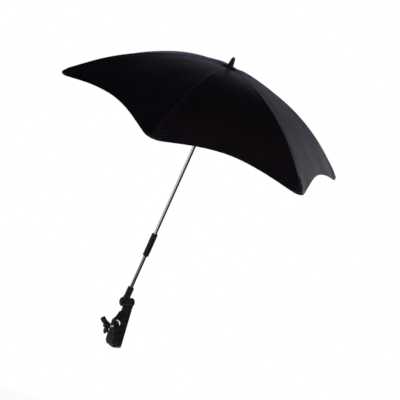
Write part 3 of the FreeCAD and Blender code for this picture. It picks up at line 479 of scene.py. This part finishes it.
def build_rosette(material):
    """The little ruffle of cloth that is gathered under the ferrule."""
    inner, outer = 0.0058, 0.0155
    rows, columns = 9, 180
    inner_height = washer_high.z - CROWN_HEIGHT
    rim_height = 0.0006
    gather_rise = 0.0012
    clearance = 0.0005
    ruffle_height = 0.0011
    ruffles, lobes, lobe_share = 11, 5, 0.06
    ruffle_drift, drifts = 0.8, 3
    points, uv = [], []
    for row in range(rows):
        share = row / (rows - 1)
        level = inner_height + (rim_height - inner_height) * share + gather_rise * (1 - share) + clearance
        for column in range(columns):
            angle = 2 * math.pi * column / columns
            wave = math.sin(ruffles * angle + ruffle_drift * math.sin(drifts * angle))
            radius = inner + (outer - inner) * share * (1 + lobe_share * math.sin(lobes * angle))
            height = level + ruffle_height * share * (1 + wave)
            spot = Vector((radius * math.cos(angle), radius * math.sin(angle), height))
            points.append(SHAFT_AXIS + Vector((0, 0, CROWN_HEIGHT)) + spot)
            uv.append((radius * angle, radius))
    rosette = mesh_piece("top_rosette", points, grid_faces(rows, columns, closed_columns=True), material, uv)
    solid = rosette.modifiers.new("thickness", "SOLIDIFY")
    solid.thickness = CLOTH_THICKNESS
    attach(rosette, "shaft")


def build_canopy(cloth, thread):
    for number in range(1, RIB_COUNT + 1):
        gore = on_rib(build_gore(number, cloth), number)
        hem = on_rib(build_hem(number, cloth), number)
        stitches = on_rib(build_stitches(number, thread), number)
        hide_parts("canopy_gore_%d" % number)
        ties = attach(build_rib_ties(number, thread), "rib_%d" % number)


# Clamp screw

def clamp_lean():
    """How far the clamp leans against the shaft, about X."""
    axis = Vector(JOINTS["swivel_turn"]["axis"])
    return math.atan2(axis.y, axis.z)


def build_screw(material):
    """The clamp screw with its rolled thread and a plain neck at the end that holds the pad."""
    low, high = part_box("wing_screw")
    pitch, depth = 0.00125, 0.00055
    outer = (high.z - low.z) / 2
    neck = outer - 0.0009
    neck_length, run_out = 0.0035, 0.001
    columns, rows_each_turn = 32, 6
    rows = int((high.x - low.x) / pitch * rows_each_turn)
    points = []
    for row in range(rows + 1):
        x = high.x - (high.x - low.x) * row / rows
        inside = smooth_step(high.x - x, neck_length, neck_length + run_out)
        for column in range(columns):
            angle = 2 * math.pi * column / columns
            phase = (x / pitch + column / columns) % 1
            thread = outer - depth * abs(2 * phase - 1)
            radius = neck + (thread - neck) * inside
            points.append((x, radius * math.cos(angle), radius * math.sin(angle)))
    faces = grid_faces(rows + 1, columns, closed_columns=True)
    faces.append(list(reversed(range(columns))))
    faces.append([rows * columns + column for column in range(columns)])
    lean = Matrix.Rotation(-clamp_lean(), 4, "X")
    screw = mesh_piece("threaded_screw", [lean @ Vector(point) for point in points], faces, material)
    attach(screw, "wing_screw")
    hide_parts("wing_screw")


# Materials

def new_material(name, colour, roughness, metallic=0.0, **sockets):
    """A Principled material. Returns the material and its shader."""
    material = bpy.data.materials.new(name)
    material.use_nodes = True
    shader = material.node_tree.nodes["Principled BSDF"]
    shader.inputs["Base Color"].default_value = (*colour, 1)
    shader.inputs["Roughness"].default_value = roughness
    shader.inputs["Metallic"].default_value = metallic
    for socket, setting in sockets.items():
        shader.inputs[socket.replace("_", " ")].default_value = setting
    return material, shader


def add_node(owner, kind, **settings):
    """A new node of a material or the world."""
    node = owner.node_tree.nodes.new(kind)
    for key, setting in settings.items():
        setattr(node, key, setting)
    return node


def wire(owner, source, target):
    owner.node_tree.links.new(source, target)


def coordinates(material, kind="Object", stretch=(1, 1, 1)):
    """Texture coordinates, stretched by a factor on each axis."""
    source = add_node(material, "ShaderNodeTexCoord")
    mapping = add_node(material, "ShaderNodeMapping")
    mapping.inputs["Scale"].default_value = stretch
    wire(material, source.outputs[kind], mapping.inputs["Vector"])
    return mapping.outputs["Vector"]


def noise(material, scale, detail=3.0, stretch=(1, 1, 1)):
    """A noise texture over the object's own coordinates."""
    texture = add_node(material, "ShaderNodeTexNoise")
    texture.inputs["Scale"].default_value = scale
    texture.inputs["Detail"].default_value = detail
    wire(material, coordinates(material, stretch=stretch), texture.inputs["Vector"])
    return texture.outputs["Fac"]


def ranged(owner, value, low, high, from_low=0.3, from_high=0.7):
    """A value carried from one range to another. Noise keeps mostly to the default first range."""
    node = add_node(owner, "ShaderNodeMapRange")
    node.inputs["From Min"].default_value = from_low
    node.inputs["From Max"].default_value = from_high
    node.inputs["To Min"].default_value = low
    node.inputs["To Max"].default_value = high
    wire(owner, value, node.inputs["Value"])
    return node.outputs["Result"]


def blended(owner, factor, first, second):
    """A colour between two colours."""
    node = add_node(owner, "ShaderNodeMix", data_type="RGBA")
    node.inputs["A"].default_value = (*first, 1)
    node.inputs["B"].default_value = (*second, 1)
    wire(owner, factor, node.inputs["Factor"])
    return node.outputs["Result"]


def computed(owner, operation, first, second=None):
    """A calculation with one or two values, each a number or a socket."""
    node = add_node(owner, "ShaderNodeMath", operation=operation)
    for socket, source in zip(node.inputs, (first, second)):
        if isinstance(source, (int, float)):
            socket.default_value = source
        elif source is not None:
            wire(owner, source, socket)
    return node.outputs["Value"]


def separated(material, kind, axis):
    """One axis of the texture coordinates."""
    split = add_node(material, "ShaderNodeSeparateXYZ")
    wire(material, coordinates(material, kind), split.inputs["Vector"])
    return split.outputs[axis]


def coloured(material, shader, factor, dark, light):
    """The shader's colour, from dark at factor 0 to light at factor 1."""
    wire(material, blended(material, factor, dark, light), shader.inputs["Base Color"])


def clouded(material, shader, cloud, dark, light):
    """The shader's colour, from dark to light over the usual range of a noise texture."""
    coloured(material, shader, ranged(material, cloud, 0, 1), dark, light)


def roughened(material, shader, cloud, low, high):
    wire(material, ranged(material, cloud, low, high), shader.inputs["Roughness"])


def bumped(material, shader, height, distance, strength, rounded=None):
    """Bump on the shader, over edges rounded by a small radius where one is given."""
    bump = add_node(material, "ShaderNodeBump")
    bump.inputs["Strength"].default_value = strength
    bump.inputs["Distance"].default_value = distance
    wire(material, height, bump.inputs["Height"])
    if rounded:
        bevel = add_node(material, "ShaderNodeBevel", samples=4)
        bevel.inputs["Radius"].default_value = rounded
        wire(material, bevel.outputs["Normal"], bump.inputs["Normal"])
    wire(material, bump.outputs["Normal"], shader.inputs["Normal"])


def thread_wave(material, axis, pitch):
    """Ridges of woven thread over the cloth's own coordinates."""
    radians_each_unit = 20
    wave = add_node(material, "ShaderNodeTexWave", bands_direction=axis)
    wave.inputs["Scale"].default_value = 2 * math.pi / radians_each_unit / pitch
    wire(material, coordinates(material, "UV"), wave.inputs["Vector"])
    return wave.outputs["Fac"]


def cloth_material():
    """Tight satin nylon: dark with a violet cast, woven, a little rubbed along the seams."""
    material, shader = new_material("canopy_nylon", (0.0045, 0.0031, 0.0044), 0.45, Specular_IOR_Level=0.12,
                                    Specular_Tint=(0.80, 0.76, 1, 1), Sheen_Weight=0.22, Sheen_Roughness=0.25,
                                    Sheen_Tint=(0.46, 0.36, 0.95, 1))
    weave_pitch = 0.0006
    rub_start, rub_end = SEAM_HALF_WIDTH * 0.7, SEAM_HALF_WIDTH * 1.3
    patches = noise(material, scale=14)
    patch_share = ranged(material, patches, 0, 1)
    tone = blended(material, patch_share, (0.0040, 0.0026, 0.0037), (0.0058, 0.0041, 0.0054))
    from_seam = computed(material, "ABSOLUTE", separated(material, "UV", "X"))
    rub = ranged(material, from_seam, 1, 0, from_low=rub_start, from_high=rub_end)
    worn = add_node(material, "ShaderNodeMix", data_type="RGBA")
    worn.inputs["B"].default_value = (0.009, 0.008, 0.0105, 1)
    wire(material, computed(material, "MULTIPLY", rub, noise(material, scale=420)), worn.inputs["Factor"])
    wire(material, tone, worn.inputs["A"])
    wire(material, worn.outputs["Result"], shader.inputs["Base Color"])
    roughened(material, shader, patches, 0.41, 0.48)
    warp = thread_wave(material, "X", weave_pitch)
    weft = thread_wave(material, "Y", weave_pitch)
    bumped(material, shader, computed(material, "MULTIPLY", warp, weft), distance=0.00006, strength=0.25)
    return material


def thread_material():
    """Polyester sewing thread with its twist."""
    material, shader = new_material("sewing_thread", (0.01, 0.009, 0.012), 0.6, Specular_IOR_Level=0.2,
                                    Sheen_Weight=0.05)
    twist = noise(material, scale=2600, detail=1, stretch=(1, 1, 3))
    coloured(material, shader, twist, dark=(0.007, 0.006, 0.008), light=(0.015, 0.014, 0.017))
    bumped(material, shader, twist, distance=0.0001, strength=0.4)
    return material


def plastic_material():
    """Black moulded plastic with a fine eroded grain, cloudy gloss and softly rounded edges."""
    material, shader = new_material("moulded_black", (0.0078, 0.0064, 0.0082), 0.42, Specular_IOR_Level=0.22,
                                    Specular_Tint=(0.96, 0.88, 1, 1))
    grain = noise(material, scale=2400, detail=2)
    cloud = noise(material, scale=90)
    clouded(material, shader, cloud, dark=(0.0054, 0.0044, 0.0058), light=(0.010, 0.0082, 0.0106))
    roughened(material, shader, cloud, 0.34, 0.5)
    bumped(material, shader, grain, distance=0.00012, strength=0.35, rounded=0.0006)
    return material


def rubber_material():
    """Soft black rubber with a little dust."""
    material, shader = new_material("soft_rubber", (0.016, 0.016, 0.016), 0.8, Specular_IOR_Level=0.2)
    dust = noise(material, scale=300)
    clouded(material, shader, dust, dark=(0.011, 0.011, 0.011), light=(0.03, 0.029, 0.028))
    bumped(material, shader, noise(material, scale=1500), distance=0.0002, strength=0.4, rounded=0.0004)
    return material


def chrome_material():
    """Drawn and chromed tube: bright, with long draw marks, and darker and warmer low down."""
    bright, dull = (0.46, 0.46, 0.47), (0.16, 0.15, 0.14)
    dull_below, bright_above = 0.18, 0.23
    material, shader = new_material("chromed_tube", bright, 0.16, metallic=1.0)
    draw = noise(material, scale=1800, detail=2, stretch=(1, 1, 0.02))
    haze = noise(material, scale=60, stretch=(1, 1, 0.3))
    height = separated(material, "Object", "Z")
    low = ranged(material, height, 1, 0, from_low=dull_below, from_high=bright_above)
    factor = computed(material, "MULTIPLY", low, ranged(material, haze, 0.7, 1))
    wire(material, blended(material, factor, bright, dull), shader.inputs["Base Color"])
    roughened(material, shader, haze, 0.12, 0.24)
    bumped(material, shader, draw, distance=0.00002, strength=0.25)
    return material


def steel_material():
    """Zinc-plated hardware: a grey, slightly cloudy metal."""
    material, shader = new_material("zinc_plate", (0.58, 0.58, 0.57), 0.3, metallic=1.0)
    cloud = noise(material, scale=260)
    clouded(material, shader, cloud, dark=(0.50, 0.50, 0.49), light=(0.66, 0.66, 0.65))
    roughened(material, shader, cloud, 0.22, 0.38)
    bumped(material, shader, noise(material, scale=2200), distance=0.00006, strength=0.3, rounded=0.0002)
    return material


def paint_material():
    """Gloss black paint on the steel ribs, with orange peel and small dull patches."""
    material, shader = new_material("gloss_paint", (0.018, 0.018, 0.019), 0.3, Specular_IOR_Level=0.45,
                                    Coat_Weight=0.3, Coat_Roughness=0.15)
    cloud = noise(material, scale=160)
    clouded(material, shader, cloud, dark=(0.014, 0.014, 0.015), light=(0.026, 0.026, 0.027))
    roughened(material, shader, cloud, 0.24, 0.42)
    bumped(material, shader, noise(material, scale=900), distance=0.00005, strength=0.3, rounded=0.0003)
    return material


def dress_nodes(looks):
    """Give each node of the frame the material of its slot."""
    for subpart in frame["record"]["subparts"]:
        node = frame["nodes"][subpart["node"]]
        node.data.materials.clear()
        node.data.materials.append(looks[subpart["material_slot"]])


# Stage, lights and camera

WHITE = (1, 1, 1)
LAMP_COLOUR = (0.96, 0.93, 1.0)
AMBIENT_LIGHT = 0.45
FLOOR_DROP = 0.9
FLOOR_RADIUS = 1.6
FLOOR_SEGMENTS = 96
FLOOR_FADE = (0.5, 0.97)
FLOOR_WHITE = 0.93
CAMERA_AZIMUTH = math.radians(-46.48)
CAMERA_ELEVATION = math.radians(13.65)
CAMERA_ROLL = math.radians(24.42)
CAMERA_DISTANCE = 3.0
CAMERA_LENS = 115.5
CAMERA_SENSOR = 36
CAMERA_REACH = 50
AIM_HEIGHT = CROWN_HEIGHT - 0.3243
AIM_RIGHT = 0.0633
AIM_UP = 0.0136


def direction(azimuth, elevation):
    """A unit vector towards a place round the parasol, in degrees: azimuth from +X towards +Y."""
    a, e = math.radians(azimuth), math.radians(elevation)
    return Vector((math.cos(e) * math.cos(a), math.cos(e) * math.sin(a), math.sin(e)))


def seen_rays(owner):
    """1 for rays from the camera, from gloss and through glass, else 0."""
    path = add_node(owner, "ShaderNodeLightPath")
    seen = path.outputs["Is Camera Ray"]
    for kind in ("Is Glossy Ray", "Is Transmission Ray"):
        seen = computed(owner, "MAXIMUM", seen, path.outputs[kind])
    return seen


def build_world():
    """White behind the parasol, and a lower plain light on it, a little cool."""
    world = bpy.data.worlds.new("studio")
    world.use_nodes = True
    bpy.context.scene.world = world
    background = world.node_tree.nodes["Background"]
    seen = seen_rays(world)
    wire(world, blended(world, seen, LAMP_COLOUR, WHITE), background.inputs["Color"])
    wire(world, ranged(world, seen, AMBIENT_LIGHT, 1, from_low=0, from_high=1), background.inputs["Strength"])


def build_floor():
    """A pale round floor that runs out into the white background."""
    fade_start, fade_end = FLOOR_FADE
    centre = Vector((SHAFT_AXIS.x, SHAFT_AXIS.y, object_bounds()[0].z - FLOOR_DROP))
    rim = []
    for step in range(FLOOR_SEGMENTS):
        angle = 2 * math.pi * step / FLOOR_SEGMENTS
        rim.append(centre + FLOOR_RADIUS * Vector((math.cos(angle), math.sin(angle), 0)))
    material, shader = new_material("pale_floor", (0.86, 0.86, 0.86), 0.9, Specular_IOR_Level=0.1)
    place = add_node(material, "ShaderNodeVectorMath", operation="DISTANCE")
    place.inputs[1].default_value = centre
    wire(material, coordinates(material), place.inputs[0])
    out = ranged(material, place.outputs["Value"], 0, 1, from_low=fade_start * FLOOR_RADIUS,
                 from_high=fade_end * FLOOR_RADIUS)
    whitened = computed(material, "MAXIMUM", out, FLOOR_WHITE)
    white = add_node(material, "ShaderNodeEmission")
    mix = add_node(material, "ShaderNodeMixShader")
    wire(material, computed(material, "MULTIPLY", whitened, seen_rays(material)), mix.inputs["Fac"])
    wire(material, shader.outputs["BSDF"], mix.inputs[1])
    wire(material, white.outputs["Emission"], mix.inputs[2])
    wire(material, mix.outputs["Shader"], material.node_tree.nodes["Material Output"].inputs["Surface"])
    floor = mesh_piece("floor", rim, [list(range(FLOOR_SEGMENTS))], material)


def build_card(name, centre, facing, width, height):
    """A dark card beside the set that only reflections see."""
    material, shader = new_material(name, (0.02, 0.02, 0.02), 0.9, Specular_IOR_Level=0.0)
    mottled = noise(material, scale=3)
    coloured(material, shader, mottled, dark=(0.015, 0.015, 0.015), light=(0.025, 0.025, 0.025))
    turn = facing.to_track_quat("Z", "Y").to_matrix()
    corners = [(-0.5, -0.5), (0.5, -0.5), (0.5, 0.5), (-0.5, 0.5)]
    points = [centre + turn @ Vector((x * width, y * height, 0)) for x, y in corners]
    card = mesh_piece(name, points, [(0, 1, 2, 3)], material)
    card.visible_camera = False
    card.visible_diffuse = False
    card.visible_shadow = False


def build_upright_card(name, target, azimuth, distance, width, height, elevation=0, rise=0):
    """A card that stands upright and faces the target's axis."""
    centre = target + direction(azimuth, elevation) * distance + Vector((0, 0, rise))
    build_card(name, centre, -direction(azimuth, 0), width, height)


def build_softbox(name, target, azimuth, elevation, distance, width, height, power):
    """An area lamp that shines on the target."""
    data = bpy.data.lights.new(name, "AREA")
    data.shape = "RECTANGLE"
    data.size = width
    data.size_y = height
    data.energy = power
    data.color = LAMP_COLOUR
    lamp = bpy.data.objects.new(name, data)
    toward = direction(azimuth, elevation)
    lamp.location = target + toward * distance
    lamp.rotation_mode = "QUATERNION"
    lamp.rotation_quaternion = toward.to_track_quat("Z", "Y")
    bpy.context.scene.collection.objects.link(lamp)


def build_camera(target):
    """The photograph's view, rolled so that the shaft leans."""
    back = Vector((math.sin(CAMERA_AZIMUTH) * math.cos(CAMERA_ELEVATION),
                   -math.cos(CAMERA_AZIMUTH) * math.cos(CAMERA_ELEVATION), math.sin(CAMERA_ELEVATION)))
    level = Vector((math.cos(CAMERA_AZIMUTH), math.sin(CAMERA_AZIMUTH), 0))
    upward = back.cross(level)
    right = math.cos(CAMERA_ROLL) * level + math.sin(CAMERA_ROLL) * upward
    up = back.cross(right)
    aim = target + level * AIM_RIGHT + upward * AIM_UP
    data = bpy.data.cameras.new("camera")
    data.lens = CAMERA_LENS
    data.sensor_width = CAMERA_SENSOR
    data.clip_end = CAMERA_REACH
    camera = bpy.data.objects.new("camera", data)
    turn = Matrix((right, up, back)).transposed().to_4x4()
    camera.matrix_world = Matrix.Translation(aim + back * CAMERA_DISTANCE) @ turn
    bpy.context.scene.collection.objects.link(camera)
    bpy.context.scene.camera = camera


# Put it together

cloth = cloth_material()
plastic = plastic_material()
steel = steel_material()
dress_nodes({"canopy_cloth": cloth, "rib_steel": paint_material(), "bright_steel": steel,
             "chromed_tube": chrome_material(), "black_plastic": plastic, "black_rubber": rubber_material()})
thread = thread_material()
build_canopy(cloth, thread)
build_rosette(cloth)
build_screw(steel)

middle = SHAFT_AXIS + Vector((0, 0, AIM_HEIGHT))
build_world()
build_floor()
build_card("ceiling_card", middle + Vector((0, 0, 1.3)), direction(40, -88), width=5.0, height=5.0)
build_upright_card("back_card", middle, azimuth=35, distance=2.6, rise=0.62, width=4.8, height=0.68)
build_upright_card("left_card", middle, azimuth=112, distance=2.6, rise=0.75, width=3.6, height=1.5)
build_upright_card("front_card", middle, azimuth=284, elevation=-13, distance=1.5, width=5.0, height=1.2)
build_upright_card("right_card", middle, azimuth=5, elevation=-20, distance=1.8, width=2.6, height=0.9)
build_upright_card("low_card", SHAFT_AXIS, azimuth=185, distance=0.5, rise=-0.22, width=0.9, height=0.34)
build_softbox("key", middle, azimuth=2, elevation=14, distance=2.3, width=1.2, height=1.1, power=3.4)
build_softbox("fill", middle, azimuth=265, elevation=25, distance=2.6, width=1.2, height=1.2, power=20)
build_camera(middle)
bpy.context.scene.view_settings.view_transform = "Standard"
